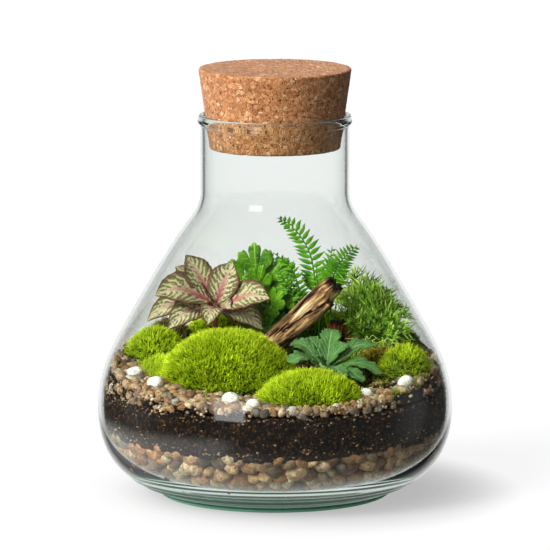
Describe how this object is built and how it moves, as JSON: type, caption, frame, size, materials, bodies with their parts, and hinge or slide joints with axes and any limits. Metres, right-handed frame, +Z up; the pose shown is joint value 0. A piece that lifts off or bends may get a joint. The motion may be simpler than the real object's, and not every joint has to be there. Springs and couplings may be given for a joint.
{
  "type": "corked glass plant terrarium",
  "caption": "Round-bellied glass flask with a cork stopper, planted as a terrarium with gravel, soil, moss, driftwood, ferns and small leafy plants.",
  "frame": {"origin": "middle of the jar's foot, on the surface it stands on", "axes": "+Z up through the neck and the cork, -Y towards the front of the planting, +X to its right"},
  "size_m": [0.2, 0.2, 0.241],
  "materials": {
    "clear_glass": "clear, polished, faintly green where it is thick",
    "cork": "pressed cork granules, matte",
    "river_pebbles": "worn pebbles, tan, grey and brown",
    "soil": "dark moist potting soil, rough",
    "fine_gravel": "small mixed gravel, matte",
    "white_stone": "white worn pebble, smooth",
    "bright_moss": "lime green living moss",
    "brown_moss": "brownish moss",
    "dark_moss": "dark olive moss",
    "yellow_moss": "yellow-brown moss",
    "driftwood": "weathered, ridged",
    "bark": "rusty brown bark",
    "veined_leaf": "olive leaf with pink veins, satin",
    "green_leaf": "bright green leaf, satin",
    "fern_leaf": "fern green, satin",
    "needle_leaf": "light green needles, satin",
    "blue_green_leaf": "blue-green leaf, satin"
  },
  "bodies": {
    "root": {"glass_jar": "clear_glass", "cork_stopper": "cork", "drainage_gravel": "river_pebbles", "potting_soil": "soil", "top_gravel": "fine_gravel", "white_pebble_1": "white_stone", "white_pebble_2": "white_stone", "white_pebble_3": "white_stone", "white_pebble_4": "white_stone", "white_pebble_5": "white_stone", "white_pebble_6": "white_stone", "moss_cushion_large": "bright_moss", "moss_cushion_front": "bright_moss", "moss_cushion_left": "bright_moss", "moss_patch_back_left": "brown_moss", "moss_patch_right": "dark_moss", "moss_patch_right_front": "bright_moss", "moss_patch_yellow": "yellow_moss", "moss_cushion_back_left": "bright_moss", "moss_cushion_back_right": "bright_moss", "driftwood": "driftwood", "bark_chunk": "bark", "nerve_plant": "veined_leaf", "lobed_leaf_plant": "green_leaf", "fern_frond_1": "fern_leaf", "fern_frond_2": "fern_leaf", "fern_frond_3": "fern_leaf", "fern_frond_4": "fern_leaf", "fern_frond_5": "fern_leaf", "feathery_plant": "needle_leaf", "toothed_rosette": "blue_green_leaf"}
  },
  "joints": []
}
